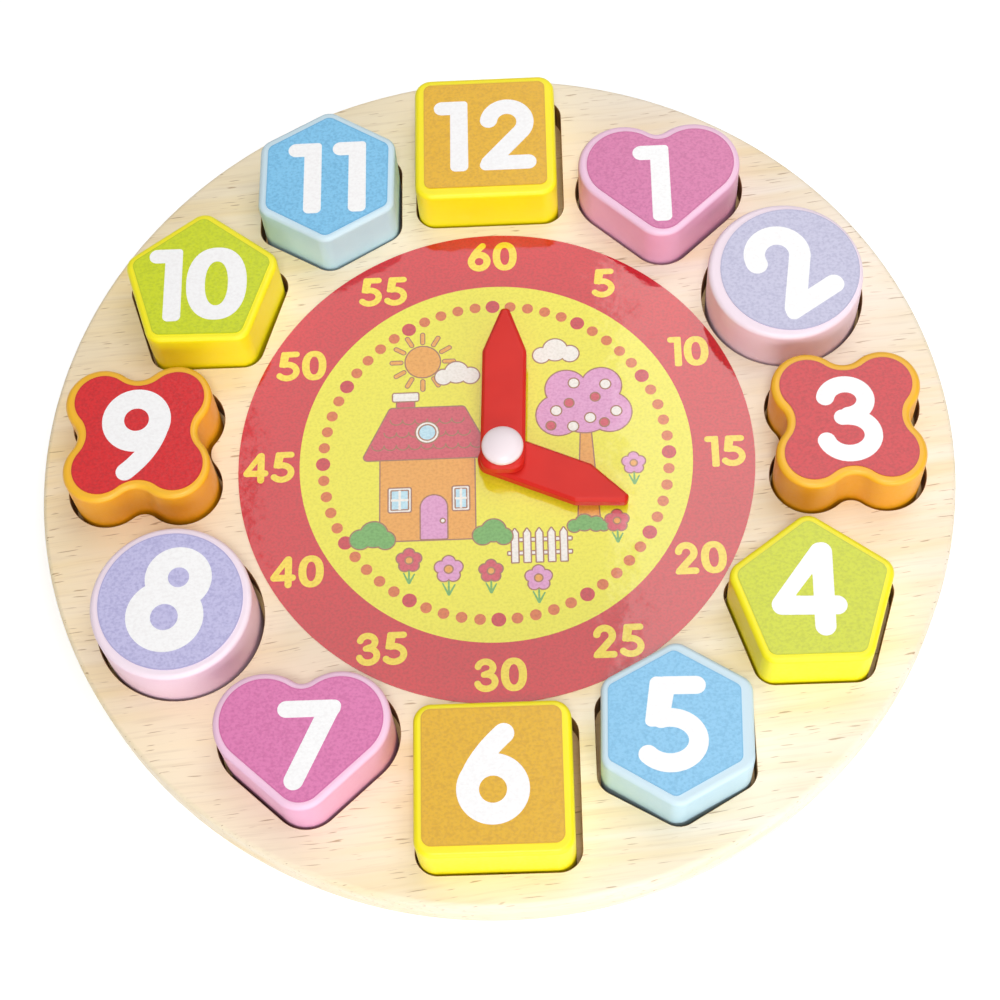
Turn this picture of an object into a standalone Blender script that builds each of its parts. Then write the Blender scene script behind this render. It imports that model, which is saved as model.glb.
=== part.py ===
"""Wooden teaching clock: a round beech board, twelve shaped number blocks in pockets, and two hands.

The board lies on the ground plane, its centre on the world origin, with +Z up and twelve o'clock at +Y.
All lengths are in metres.
"""
import math
from collections import namedtuple

import bpy
import bmesh
from mathutils import Vector

# Gaps and cuts that hold everywhere
SEAT_GAP = 0.0003
CUT_OVERRUN = 0.002
SAME_POINT = 0.000001

# Division of round stretches
ARC_STEP = math.radians(15)
DISC_STEPS = 96
CIRCLE_STEPS = 48
TURNED_STEPS = 32
TOP_EDGE_STEPS = 3
FOOT_EDGE_STEPS = 1
DOME_STEPS = 6

# Board: a thin base glued under a thicker face that the pockets go through. Its size follows from the dial
# and the blocks: the least wood between pocket and dial, between two pockets, and outside the pockets.
WOOD_TO_DIAL = 0.0009
WOOD_WEB = 0.0008
WOOD_RIM = 0.0057
BASE_THICKNESS = 0.003
FACE_THICKNESS = 0.009
BOARD_EDGE_ROUND = 0.0012

# Blocks
BLOCK_HEIGHT = 0.0225
BLOCK_TOP_ROUND = 0.0012
BLOCK_FOOT_ROUND = 0.0008
POCKET_PLAY = 0.0010

# Block outlines
SQUARE_HALF_WIDTH = 0.0177
SQUARE_CORNER = 0.0042
CIRCLE_RADIUS = 0.0188
PENTAGON_HALF_WIDTH = 0.0165
PENTAGON_CORNER = 0.0040
HEXAGON_HALF_WIDTH = 0.0170
HEXAGON_CORNER = 0.0040
HEART_LOBE_RADIUS = 0.0115
HEART_LOBE_SPREAD = 0.0086
HEART_LOBE_RISE = 0.0032
HEART_NOTCH_RADIUS = 0.0036
HEART_TIP_RADIUS = 0.0072
HEART_TIP_DROP = 0.0104
CLOVER_LOBE_RADIUS = 0.0087
CLOVER_LOBE_SPREAD = 0.0089
CLOVER_WAIST_RADIUS = 0.0054

# Printed films: the round dial on the face board and one label on each block
FILM_THICKNESS = 0.0002
DIAL_RADIUS = 0.0624
LABEL_MARGIN = 0.0018

# Hands, each measured from the pivot
HAND_WIDTH = 0.0107
HAND_THICKNESS = 0.0030
HAND_TAIL = 0.0055
HAND_TAIL_CORNER = 0.0032
HAND_SHOULDER_CORNER = 0.0010
HAND_TIP_WIDTH = 0.0024
HAND_TIP_CORNER = 0.0009
HAND_CHAMFER = 0.0007
HAND_COLLAR_RADIUS = 0.0044
HAND_COLLAR_HEIGHT = 0.0005
HAND_BORE_PLAY = 0.0003
HOUR_LENGTH = 0.0320
HOUR_SHOULDER = 0.0204
HOUR_BEARING = math.radians(113.6)
MINUTE_LENGTH = 0.0382
MINUTE_SHOULDER = 0.0262
MINUTE_BEARING = math.radians(2.0)

# Hub: a domed knob whose split stem snaps into a flanged socket pushed in from below
PIVOT_X = 0.0020
PIVOT_Y = -0.0007
KNOB_RADIUS = 0.0050
KNOB_RIM = 0.0007
KNOB_DOME = 0.0017
STEM_RADIUS = 0.0023
STEM_BARB = 0.0004
STEM_BARB_LENGTH = 0.0016
STEM_SLOT_WIDTH = 0.0009
STEM_SLOT_LENGTH = 0.0070
SOCKET_WALL = 0.0010
SOCKET_FLANGE_RADIUS = 0.0065
SOCKET_FLANGE_THICKNESS = 0.0012
SOCKET_LIP_LENGTH = 0.0030
SOCKET_RECESS_DEPTH = 0.0020

# Sizes that follow from those above
BLOCK_FREE_PLAY = POCKET_PLAY - SEAT_GAP
STEM_BORE = STEM_RADIUS + HAND_BORE_PLAY
SOCKET_BORE = STEM_RADIUS + SEAT_GAP
SOCKET_WIDE_BORE = SOCKET_BORE + STEM_BARB
SOCKET_SLEEVE_RADIUS = SOCKET_WIDE_BORE + SOCKET_WALL
STEM_END = SOCKET_RECESS_DEPTH - SOCKET_FLANGE_THICKNESS
BARB_TOP = STEM_END + STEM_BARB_LENGTH

# The stack, from the ground up
FACE_BOTTOM = BASE_THICKNESS + SEAT_GAP
FACE_TOP = FACE_BOTTOM + FACE_THICKNESS
DIAL_BOTTOM = FACE_TOP + SEAT_GAP
HOUR_BOTTOM = DIAL_BOTTOM + FILM_THICKNESS + SEAT_GAP
MINUTE_BOTTOM = HOUR_BOTTOM + HAND_COLLAR_HEIGHT + HAND_THICKNESS + SEAT_GAP
KNOB_BOTTOM = MINUTE_BOTTOM + HAND_THICKNESS + SEAT_GAP

# One row for each block. The bearing of its pocket is in degrees clockwise from twelve, and its place on
# the pocket ring is a share of that ring's radius. The block stands a little off its pocket's centre, by
# shares of its free play across and up, and turned by some degrees. The label's margin, and how far the
# label lies off the block's centre, are shares of LABEL_MARGIN.
Block = namedtuple("Block", "hour outline bearing ring_share drift_shares turn margin_share label_shares")
BLOCKS = (
    Block(1, "heart", 31.2, 0.985, (-0.3, -0.6), 0.0, 1.0, (0.2, -0.1)),
    Block(2, "circle", 59.7, 0.990, (0.0, -0.9), 0.0, 1.1, (0.6, 0.1)),
    Block(3, "clover", 89.2, 1.000, (-0.5, -0.6), 0.0, 1.1, (0.0, 0.0)),
    Block(4, "pentagon", 120.4, 0.999, (-0.5, -0.8), 0.0, 1.0, (0.0, 0.0)),
    Block(5, "hexagon", 151.4, 0.984, (0.1, -0.3), -2.0, 1.2, (-0.3, 0.0)),
    Block(6, "square", 180.7, 0.994, (-0.6, -0.8), 0.0, 1.1, (-0.1, 0.3)),
    Block(7, "heart", 211.5, 1.005, (0.0, -0.6), 0.0, 0.9, (0.0, 0.0)),
    Block(8, "circle", 242.3, 1.006, (0.0, -0.7), 0.0, 1.1, (0.0, 0.1)),
    Block(9, "clover", 272.8, 1.010, (0.0, -0.4), 1.0, 1.1, (0.2, 0.0)),
    Block(10, "pentagon", 302.4, 1.003, (0.0, -0.6), -1.0, 1.0, (0.0, 0.0)),
    Block(11, "hexagon", 331.3, 1.008, (0.4, -0.6), -1.0, 1.0, (0.1, -0.1)),
    Block(12, "square", 359.9, 1.002, (-0.6, -0.8), 0.0, 1.3, (0.0, 0.2)),
)


# Outlines

def belt(pegs, grow=0.0):
    """The counter-clockwise outline of a belt round some pegs, moved outwards by grow.

    A peg is (x, y, radius). One with a negative radius stands outside the belt and bends it inwards.
    Straight runs keep their direction as the belt grows, so grown outlines match point for point.
    """
    if len(pegs) == 1:
        x, y, radius = pegs[0]
        return circle_points(radius + grow, CIRCLE_STEPS, x, y)
    headings = []
    run_lengths = []
    for (x0, y0, r0), (x1, y1, r1) in zip(pegs, pegs[1:] + pegs[:1]):
        span = math.hypot(x1 - x0, y1 - y0)
        slant = max(-1.0, min(1.0, (r1 - r0) / span))
        headings.append(math.atan2(y1 - y0, x1 - x0) - math.asin(slant))
        run_lengths.append(span * math.sqrt(1.0 - slant * slant))
    points = []
    for place, (x, y, radius) in enumerate(pegs):
        turn = (headings[place] - headings[place - 1]) % math.tau
        if radius < 0:
            turn -= math.tau
        steps = max(1, round(abs(turn) / ARC_STEP))
        first = 1 if run_lengths[place - 1] < SAME_POINT else 0
        for step in range(first, steps + 1):
            heading = headings[place - 1] + turn * step / steps
            reach = radius + grow
            points.append((x + reach * math.sin(heading), y - reach * math.cos(heading)))
    return points


def circle_points(radius, steps, x=0.0, y=0.0):
    """Points of a circle, counter-clockwise."""
    turns = (math.tau * step / steps for step in range(steps))
    return [(x + radius * math.cos(turn), y + radius * math.sin(turn)) for turn in turns]


def polygon_pegs(sides, half_width, corner, lean=0.0):
    """Pegs of a regular polygon with rounded corners. The first corner points up, or leans from there."""
    reach = (half_width - corner) / math.cos(math.pi / sides)
    turns = (math.tau * side / sides + lean for side in range(sides))
    return [(-reach * math.sin(turn), reach * math.cos(turn), corner) for turn in turns]


def heart_pegs():
    """Two lobes, a rounded tip below them, and a peg that rounds the notch between the lobes."""
    notch_rise = math.sqrt((HEART_LOBE_RADIUS + HEART_NOTCH_RADIUS) ** 2 - HEART_LOBE_SPREAD ** 2)
    return [
        (0.0, -HEART_TIP_DROP, HEART_TIP_RADIUS),
        (HEART_LOBE_SPREAD, HEART_LOBE_RISE, HEART_LOBE_RADIUS),
        (0.0, HEART_LOBE_RISE + notch_rise, -HEART_NOTCH_RADIUS),
        (-HEART_LOBE_SPREAD, HEART_LOBE_RISE, HEART_LOBE_RADIUS),
    ]


def clover_pegs():
    """Four lobes on a square's corners, with a peg outside each side that rounds the waist there."""
    waist_rise = math.sqrt((CLOVER_LOBE_RADIUS + CLOVER_WAIST_RADIUS) ** 2 - CLOVER_LOBE_SPREAD ** 2)
    waist = CLOVER_LOBE_SPREAD + waist_rise
    pegs = []
    for across, up in ((1, 0), (0, 1), (-1, 0), (0, -1)):
        lobe_x = (across + up) * CLOVER_LOBE_SPREAD
        lobe_y = (up - across) * CLOVER_LOBE_SPREAD
        pegs.append((lobe_x, lobe_y, CLOVER_LOBE_RADIUS))
        pegs.append((across * waist, up * waist, -CLOVER_WAIST_RADIUS))
    return pegs


def block_pegs(outline):
    """The pegs of one block's outline, round the block's own centre."""
    if outline == "square":
        return polygon_pegs(4, SQUARE_HALF_WIDTH, SQUARE_CORNER, math.pi / 4)
    if outline == "pentagon":
        return polygon_pegs(5, PENTAGON_HALF_WIDTH, PENTAGON_CORNER)
    if outline == "hexagon":
        return polygon_pegs(6, HEXAGON_HALF_WIDTH, HEXAGON_CORNER)
    if outline == "heart":
        return heart_pegs()
    if outline == "clover":
        return clover_pegs()
    return [(0.0, 0.0, CIRCLE_RADIUS)]


def hand_pegs(length, shoulder):
    """Pegs of a hand that points to +Y: two tail corners, two shoulders and a narrow blunt tip."""
    tail_x = HAND_WIDTH / 2 - HAND_TAIL_CORNER
    tail_y = HAND_TAIL_CORNER - HAND_TAIL
    shoulder_x = HAND_WIDTH / 2 - HAND_SHOULDER_CORNER
    tip_x = HAND_TIP_WIDTH / 2 - HAND_TIP_CORNER
    tip_y = length - HAND_TIP_CORNER
    return [
        (tail_x, tail_y, HAND_TAIL_CORNER),
        (shoulder_x, shoulder, HAND_SHOULDER_CORNER),
        (tip_x, tip_y, HAND_TIP_CORNER),
        (-tip_x, tip_y, HAND_TIP_CORNER),
        (-shoulder_x, shoulder, HAND_SHOULDER_CORNER),
        (-tail_x, tail_y, HAND_TAIL_CORNER),
    ]


# Solids

def ring_at(points, height):
    """A flat outline as a ring of points at one height."""
    return [Vector((x, y, height)) for x, y in points]


def loft(mesh, rings, closed=False):
    """Skin rings of equal length, one above the other, and cap the ends or join the last to the first."""
    loops = [[mesh.verts.new(point) for point in ring] for ring in rings]
    pairs = list(zip(loops, loops[1:]))
    if closed:
        pairs.append((loops[-1], loops[0]))
    else:
        mesh.faces.new(reversed(loops[0]))
        mesh.faces.new(loops[-1])
    for lower, upper in pairs:
        for place in range(len(lower)):
            mesh.faces.new((lower[place - 1], lower[place], upper[place], upper[place - 1]))


def make_object(name, mesh, material, location=(0.0, 0.0, 0.0), turn=0.0):
    """An object from a finished mesh, with its faces pointing out and its material on it."""
    bmesh.ops.recalc_face_normals(mesh, faces=mesh.faces)
    data = bpy.data.meshes.new(name)
    mesh.to_mesh(data)
    mesh.free()
    data.shade_smooth()
    data.set_sharp_from_angle(angle=math.radians(35))
    data.materials.append(material)
    piece = bpy.data.objects.new(name, data)
    piece.location = location
    piece.rotation_euler.z = turn
    bpy.context.scene.collection.objects.link(piece)
    return piece


def edge_levels(height, radius, steps, side):
    """Heights and growths round one edge of a prism: its top edge at side 1, its foot at side -1."""
    if radius == 0:
        return [(height, 0.0)]
    levels = []
    for step in range(steps + 1):
        turn = math.pi / 2 * step / steps
        levels.append((height - side * radius * (1 - math.sin(turn)), -radius * (1 - math.cos(turn))))
    return levels if side > 0 else levels[::-1]


def prism_levels(bottom, top, foot_round, top_round):
    """Heights and growths of a prism's rings, from its foot to its top."""
    foot = edge_levels(bottom, foot_round, FOOT_EDGE_STEPS, -1)
    return foot + edge_levels(top, top_round, TOP_EDGE_STEPS, 1)


def disc_rings(radius, levels):
    """Rings of a round board from its levels of height and growth."""
    return [ring_at(circle_points(radius + grow, DISC_STEPS), height) for height, grow in levels]


def belt_rings(pegs, levels):
    """Rings of a prism on a belt outline from its levels of height and growth."""
    return [ring_at(belt(pegs, grow), height) for height, grow in levels]


def turned_rings(profile):
    """Rings of a turned piece from its profile of radius and height."""
    return [ring_at(circle_points(radius, TURNED_STEPS), height) for radius, height in profile]


def material(name, red, green, blue, roughness, metallic=0.0):
    """A Principled material with a plain colour."""
    made = bpy.data.materials.new(name)
    made.use_nodes = True
    shader = made.node_tree.nodes["Principled BSDF"]
    shader.inputs["Base Color"].default_value = (red, green, blue, 1.0)
    shader.inputs["Roughness"].default_value = roughness
    shader.inputs["Metallic"].default_value = metallic
    return made


def combine(piece, operation, helper):
    """Take a helper's volume out of a piece, or join it on, and hide the helper."""
    helper.hide_render = True
    helper.display_type = "WIRE"
    modifier = piece.modifiers.new(helper.name, "BOOLEAN")
    modifier.operation = operation
    modifier.solver = "EXACT"
    modifier.object = helper


# Places

def place_shares(block):
    """Where the centre of a block's pocket lies on the board, as shares of the pocket ring's radius."""
    bearing = math.radians(block.bearing)
    return block.ring_share * math.sin(bearing), block.ring_share * math.cos(bearing)


def reach(block, across, up):
    """How far a block's pocket reaches from its centre in the direction (across, up)."""
    points = belt(block_pegs(block.outline), POCKET_PLAY)
    return max(x * across + y * up for x, y in points) / math.hypot(across, up)


def pocket_ring_radius():
    """The smallest radius at which all pockets keep their distance from the dial and from each other."""
    radii = []
    for block, neighbour in zip(BLOCKS, BLOCKS[1:] + BLOCKS[:1]):
        x, y = place_shares(block)
        from_centre = DIAL_RADIUS + WOOD_TO_DIAL + reach(block, -x, -y)
        radii.append(from_centre / block.ring_share)
        neighbour_x, neighbour_y = place_shares(neighbour)
        across = neighbour_x - x
        up = neighbour_y - y
        apart = reach(block, across, up) + WOOD_WEB + reach(neighbour, -across, -up)
        radii.append(apart / math.hypot(across, up))
    return max(radii)


def board_radius(ring):
    """The radius of the board round a ring of pockets."""
    return WOOD_RIM + max(ring * block.ring_share + reach(block, *place_shares(block)) for block in BLOCKS)


def pocket_place(block):
    """Where the centre of a block's pocket lies on the board."""
    across, up = place_shares(block)
    return POCKET_RING * across, POCKET_RING * up


POCKET_RING = pocket_ring_radius()
BOARD_RADIUS = board_radius(POCKET_RING)


def placed(points, x, y, turn):
    """A flat outline turned about its own centre and moved to its place."""
    cosine = math.cos(turn)
    sine = math.sin(turn)
    return [(x + px * cosine - py * sine, y + px * sine + py * cosine) for px, py in points]


# Boards

def base_board(wood):
    """The thin round board that closes the pockets from below, recessed underneath for the hub."""
    mesh = bmesh.new()
    loft(mesh, disc_rings(BOARD_RADIUS, prism_levels(0.0, BASE_THICKNESS, BOARD_EDGE_ROUND, 0.0)))
    board = make_object("base_board", mesh, wood)
    mesh = bmesh.new()
    recess = SOCKET_FLANGE_RADIUS + SEAT_GAP
    bore = SOCKET_SLEEVE_RADIUS + SEAT_GAP
    loft(mesh, turned_rings([
        (recess, -CUT_OVERRUN),
        (recess, SOCKET_RECESS_DEPTH),
        (bore, SOCKET_RECESS_DEPTH),
        (bore, BASE_THICKNESS + CUT_OVERRUN),
    ]))
    combine(board, "DIFFERENCE", make_object("hub_recess", mesh, wood, (PIVOT_X, PIVOT_Y, 0.0)))
    return board


def face_board(wood):
    """The thick round board with twelve pockets and the hub's bore cut through it."""
    mesh = bmesh.new()
    loft(mesh, disc_rings(BOARD_RADIUS, prism_levels(FACE_BOTTOM, FACE_TOP, 0.0, BOARD_EDGE_ROUND)))
    board = make_object("face_board", mesh, wood)
    low = FACE_BOTTOM - CUT_OVERRUN
    high = FACE_TOP + CUT_OVERRUN
    mesh = bmesh.new()
    for block in BLOCKS:
        points = placed(belt(block_pegs(block.outline), POCKET_PLAY), *pocket_place(block), 0.0)
        loft(mesh, [ring_at(points, low), ring_at(points, high)])
    bore = placed(circle_points(SOCKET_SLEEVE_RADIUS + SEAT_GAP, TURNED_STEPS), PIVOT_X, PIVOT_Y, 0.0)
    loft(mesh, [ring_at(bore, low), ring_at(bore, high)])
    combine(board, "DIFFERENCE", make_object("pockets", mesh, wood))
    return board


# Blocks and their labels

def block_and_label(block, paint, film):
    """One number block in its pocket, and the film on its top, which stays clear of the rounded edge."""
    pocket_x, pocket_y = pocket_place(block)
    x = pocket_x + block.drift_shares[0] * BLOCK_FREE_PLAY
    y = pocket_y + block.drift_shares[1] * BLOCK_FREE_PLAY
    turn = math.radians(block.turn)
    pegs = block_pegs(block.outline)
    mesh = bmesh.new()
    loft(mesh, belt_rings(pegs, prism_levels(0.0, BLOCK_HEIGHT, BLOCK_FOOT_ROUND, BLOCK_TOP_ROUND)))
    make_object(f"block_{block.hour:02d}_{block.outline}", mesh, paint, (x, y, FACE_BOTTOM), turn)
    grow = -max(LABEL_MARGIN * block.margin_share, BLOCK_TOP_ROUND)
    across, up = (share * LABEL_MARGIN for share in block.label_shares)
    points = placed(belt(pegs, grow), across, up, 0.0)
    mesh = bmesh.new()
    loft(mesh, [ring_at(points, 0.0), ring_at(points, FILM_THICKNESS)])
    label_bottom = FACE_BOTTOM + BLOCK_HEIGHT + SEAT_GAP
    make_object(f"label_{block.hour:02d}", mesh, film, (x, y, label_bottom), turn)


# Dial, hub and hands, stacked on the face board round the pivot

def dial_sheet(film):
    """The printed film on the face board, with a hole for the hub."""
    mesh = bmesh.new()
    inner = placed(circle_points(SOCKET_SLEEVE_RADIUS + SEAT_GAP, DISC_STEPS), PIVOT_X, PIVOT_Y, 0.0)
    outer = circle_points(DIAL_RADIUS, DISC_STEPS)
    loft(mesh, [
        ring_at(inner, 0.0),
        ring_at(outer, 0.0),
        ring_at(outer, FILM_THICKNESS),
        ring_at(inner, FILM_THICKNESS),
    ], closed=True)
    return make_object("dial_sheet", mesh, film, (0.0, 0.0, DIAL_BOTTOM))


def hub_knob(plastic):
    """The pale domed knob. Its stem is split, so that the barb at its end can squeeze through the lip."""
    profile = [
        (STEM_RADIUS - STEM_BARB, STEM_END),
        (STEM_RADIUS + STEM_BARB, BARB_TOP),
        (STEM_RADIUS, BARB_TOP),
        (STEM_RADIUS, KNOB_BOTTOM),
        (KNOB_RADIUS, KNOB_BOTTOM),
    ]
    for step in range(DOME_STEPS):
        turn = math.pi / 2 * step / DOME_STEPS
        profile.append((KNOB_RADIUS * math.cos(turn), KNOB_BOTTOM + KNOB_RIM + KNOB_DOME * math.sin(turn)))
    mesh = bmesh.new()
    loft(mesh, turned_rings(profile))
    knob = make_object("hub_knob", mesh, plastic, (PIVOT_X, PIVOT_Y, 0.0))
    side = STEM_RADIUS + STEM_BARB + CUT_OVERRUN
    edge = STEM_SLOT_WIDTH / 2
    corners = [(-side, -edge), (side, -edge), (side, edge), (-side, edge)]
    mesh = bmesh.new()
    loft(mesh, [ring_at(corners, STEM_END - CUT_OVERRUN), ring_at(corners, STEM_END + STEM_SLOT_LENGTH)])
    combine(knob, "DIFFERENCE", make_object("stem_slot", mesh, plastic, (PIVOT_X, PIVOT_Y, 0.0)))
    return knob


def hub_socket(plastic):
    """The flanged sleeve pushed in from below. A lip inside it holds the knob's barb."""
    flange_top = SOCKET_RECESS_DEPTH - SEAT_GAP
    flange_bottom = flange_top - SOCKET_FLANGE_THICKNESS
    lip_bottom = BARB_TOP + SEAT_GAP
    lip_top = lip_bottom + SOCKET_LIP_LENGTH
    mesh = bmesh.new()
    loft(mesh, turned_rings([
        (SOCKET_WIDE_BORE, flange_bottom),
        (SOCKET_FLANGE_RADIUS, flange_bottom),
        (SOCKET_FLANGE_RADIUS, flange_top),
        (SOCKET_SLEEVE_RADIUS, flange_top),
        (SOCKET_SLEEVE_RADIUS, FACE_TOP),
        (SOCKET_WIDE_BORE, FACE_TOP),
        (SOCKET_WIDE_BORE, lip_top),
        (SOCKET_BORE, lip_top),
        (SOCKET_BORE, lip_bottom),
        (SOCKET_WIDE_BORE, lip_bottom),
    ]), closed=True)
    return make_object("hub_socket", mesh, plastic, (PIVOT_X, PIVOT_Y, 0.0))


def hand(name, length, shoulder, bearing, bottom, collar, plastic):
    """One hand with a chamfered face, and below it a collar, if it has one, that turns on the dial."""
    place = (PIVOT_X, PIVOT_Y, bottom)
    top = collar + HAND_THICKNESS
    levels = [(collar, 0.0), (top - HAND_CHAMFER, 0.0), (top, -HAND_CHAMFER)]
    mesh = bmesh.new()
    loft(mesh, belt_rings(hand_pegs(length, shoulder), levels))
    piece = make_object(name, mesh, plastic, place, -bearing)
    if collar:
        mesh = bmesh.new()
        loft(mesh, turned_rings([(HAND_COLLAR_RADIUS, 0.0), (HAND_COLLAR_RADIUS, top - HAND_CHAMFER)]))
        combine(piece, "UNION", make_object(name + "_collar", mesh, plastic, place, -bearing))
    mesh = bmesh.new()
    loft(mesh, turned_rings([(STEM_BORE, -CUT_OVERRUN), (STEM_BORE, top + CUT_OVERRUN)]))
    combine(piece, "DIFFERENCE", make_object(name + "_bore", mesh, plastic, place, -bearing))
    return piece


# Colours: red, green, blue and roughness of the paint and the film of each outline
PAINTS = {
    "square": (0.98, 0.86, 0.03, 0.40),
    "heart": (0.88, 0.46, 0.70, 0.40),
    "circle": (0.90, 0.62, 0.76, 0.40),
    "clover": (0.90, 0.36, 0.02, 0.40),
    "pentagon": (0.94, 0.87, 0.02, 0.40),
    "hexagon": (0.52, 0.75, 0.92, 0.40),
}
FILMS = {
    "square": (0.86, 0.43, 0.06, 0.50),
    "heart": (0.78, 0.24, 0.51, 0.50),
    "circle": (0.50, 0.50, 0.78, 0.50),
    "clover": (0.72, 0.06, 0.08, 0.50),
    "pentagon": (0.55, 0.70, 0.05, 0.50),
    "hexagon": (0.22, 0.52, 0.86, 0.50),
}


def build():
    """Clear the scene and make every piece."""
    for thing in list(bpy.data.objects):
        bpy.data.objects.remove(thing, do_unlink=True)
    base_board(material("base wood", 0.88, 0.74, 0.54, 0.55))
    face_board(material("face wood", 0.90, 0.77, 0.57, 0.50))
    for block in BLOCKS:
        paint = material(f"block paint {block.hour}", *PAINTS[block.outline])
        film = material(f"label film {block.hour}", *FILMS[block.outline])
        block_and_label(block, paint, film)
    dial_sheet(material("dial film", 0.73, 0.09, 0.11, 0.25))
    hub_socket(material("socket plastic", 0.86, 0.82, 0.80, 0.45))
    hand("hour_hand", HOUR_LENGTH, HOUR_SHOULDER, HOUR_BEARING, HOUR_BOTTOM, HAND_COLLAR_HEIGHT,
         material("hour hand plastic", 0.74, 0.05, 0.03, 0.30))
    hand("minute_hand", MINUTE_LENGTH, MINUTE_SHOULDER, MINUTE_BEARING, MINUTE_BOTTOM, 0.0,
         material("minute hand plastic", 0.74, 0.05, 0.03, 0.30))
    hub_knob(material("knob plastic", 0.95, 0.80, 0.83, 0.30))


build()
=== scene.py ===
"""Looks of the wooden teaching clock: lacquered beech boards, painted blocks, printed films, moulded hands.

Drawings and shapes are in millimetres on the board, twelve o'clock at +Y, and meshes are made in metres.
"""
import math
from collections import namedtuple

import bmesh
import bpy
from mathutils import Matrix, Vector
from mathutils.geometry import delaunay_2d_cdt


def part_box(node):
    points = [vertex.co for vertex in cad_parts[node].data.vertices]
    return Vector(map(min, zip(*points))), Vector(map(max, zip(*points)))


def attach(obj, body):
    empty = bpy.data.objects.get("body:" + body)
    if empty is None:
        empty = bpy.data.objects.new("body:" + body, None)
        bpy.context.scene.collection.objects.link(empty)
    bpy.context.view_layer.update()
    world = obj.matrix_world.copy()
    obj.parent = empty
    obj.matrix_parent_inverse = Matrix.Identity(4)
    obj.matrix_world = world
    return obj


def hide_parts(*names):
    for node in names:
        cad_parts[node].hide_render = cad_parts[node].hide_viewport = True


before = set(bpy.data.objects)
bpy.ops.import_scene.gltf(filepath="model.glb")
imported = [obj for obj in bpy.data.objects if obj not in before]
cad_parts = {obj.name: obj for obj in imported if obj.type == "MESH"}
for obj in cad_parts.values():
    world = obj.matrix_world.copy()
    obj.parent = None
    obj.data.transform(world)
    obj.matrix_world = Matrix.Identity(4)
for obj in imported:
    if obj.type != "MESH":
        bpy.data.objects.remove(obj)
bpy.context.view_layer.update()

MM = 0.001

# Steps round curves, the angle from which an edge shades sharp, and how near two points count as one
ARC_STEP = math.radians(5)
PICTURE_STEP = math.radians(12)
FINE_STEPS = 72
DISC_STEPS = 240
DOT_STEPS = 28
SHARP_ANGLE = math.radians(32)
SAME_POINT = 0.002
DRAWN_POINT = 0.0005

# Camera: the photograph's place and direction, fitted to the sixty minute dots
CAMERA_PLACE = (0.018853, -0.227453, 0.487355)
CAMERA_RIGHT = (0.99875, -0.01882, -0.04642)
CAMERA_UP = (0.03636, 0.90993, 0.41315)
CAMERA_LENS = 78.56
SENSOR = 36.0

# Outlines of the blocks: half widths, corner radii, lobes and the pegs that round their notches
SQUARE = (17.7, 4.2)
CIRCLE = 18.8
PENTAGON = (16.5, 4.0)
HEXAGON = (17.0, 4.0)
HEART_LOBE, HEART_SPREAD, HEART_RISE, HEART_NOTCH = 11.5, 8.6, 3.2, 3.6
HEART_TIP, HEART_DROP = 7.2, 10.4
CLOVER_LOBE, CLOVER_SPREAD, CLOVER_WAIST = 8.7, 8.9, 5.4

# Edges and thin layers
BLOCK_ROUND = 1.2
BLOCK_FOOT = 0.8
BOARD_ROUND = 1.2
POCKET_PLAY = 1.0
POCKET_EDGE = 0.15
RECESS_STEP = 1.5
GLUE_LINE = 0.04
FILM_LIFT = 0.02
FILM_BORDER = 0.28

# Beech: its grain's lean, the patches of its patterns along and across the grain, and where its painted
# shade starts and ends, which darkens and warms the wood from right to left
GRAIN_LEAN = math.radians(6)
WANDER, BANDS, FIBRES, FLECKS = (60, 25, 25), (110, 6, 6), (14, 0.7, 0.7), (5.0, 0.40, 0.40)
SWAY = 6
LEFT_SHADE_START, LEFT_SHADE_END = 60, -100


# Colours

def linear(code):
    """A colour written as sRGB hex, as linear red, green, blue and alpha."""
    parts = (int(code[place:place + 2], 16) / 255 for place in (1, 3, 5))
    light = (part / 12.92 if part <= 0.04045 else ((part + 0.055) / 1.055) ** 2.4 for part in parts)
    return (*light, 1.0)


# Material nodes

def add(tree, kind, inputs, output=0, **settings):
    """Add a node with its settings, fill its inputs with values or nodes' outputs, and give one output."""
    made = tree.nodes.new(kind)
    for name, value in settings.items():
        setattr(made, name, value)
    for name, value in inputs.items():
        if isinstance(value, bpy.types.NodeSocket):
            tree.links.new(value, made.inputs[name])
        else:
            made.inputs[name].default_value = value
    return made.outputs[output]


def per_metre(*sizes):
    """Texture scales for a pattern whose patches are so many millimetres long in X, Y and Z."""
    return [1 / (size * MM) for size in sizes]


def start(name, roughness):
    """A new material: itself, its node tree, its shader, and the piece's own coordinates in metres."""
    made = bpy.data.materials.new(name)
    made.use_nodes = True
    tree = made.node_tree
    shader = tree.nodes["Principled BSDF"]
    shader.inputs["Roughness"].default_value = roughness
    return made, tree, shader, add(tree, "ShaderNodeTexCoord", {}, "Object")


def dress(tree, shader, colour, height, depth, roughness=None):
    """Give a shader its colour, a relief whose depth is in millimetres, and a roughness that varies."""
    tree.links.new(colour, shader.inputs["Base Color"])
    relief = add(tree, "ShaderNodeBump", {"Height": height, "Strength": 1.0, "Distance": depth * MM})
    tree.links.new(relief, shader.inputs["Normal"])
    if roughness:
        tree.links.new(roughness, shader.inputs["Roughness"])


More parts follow.
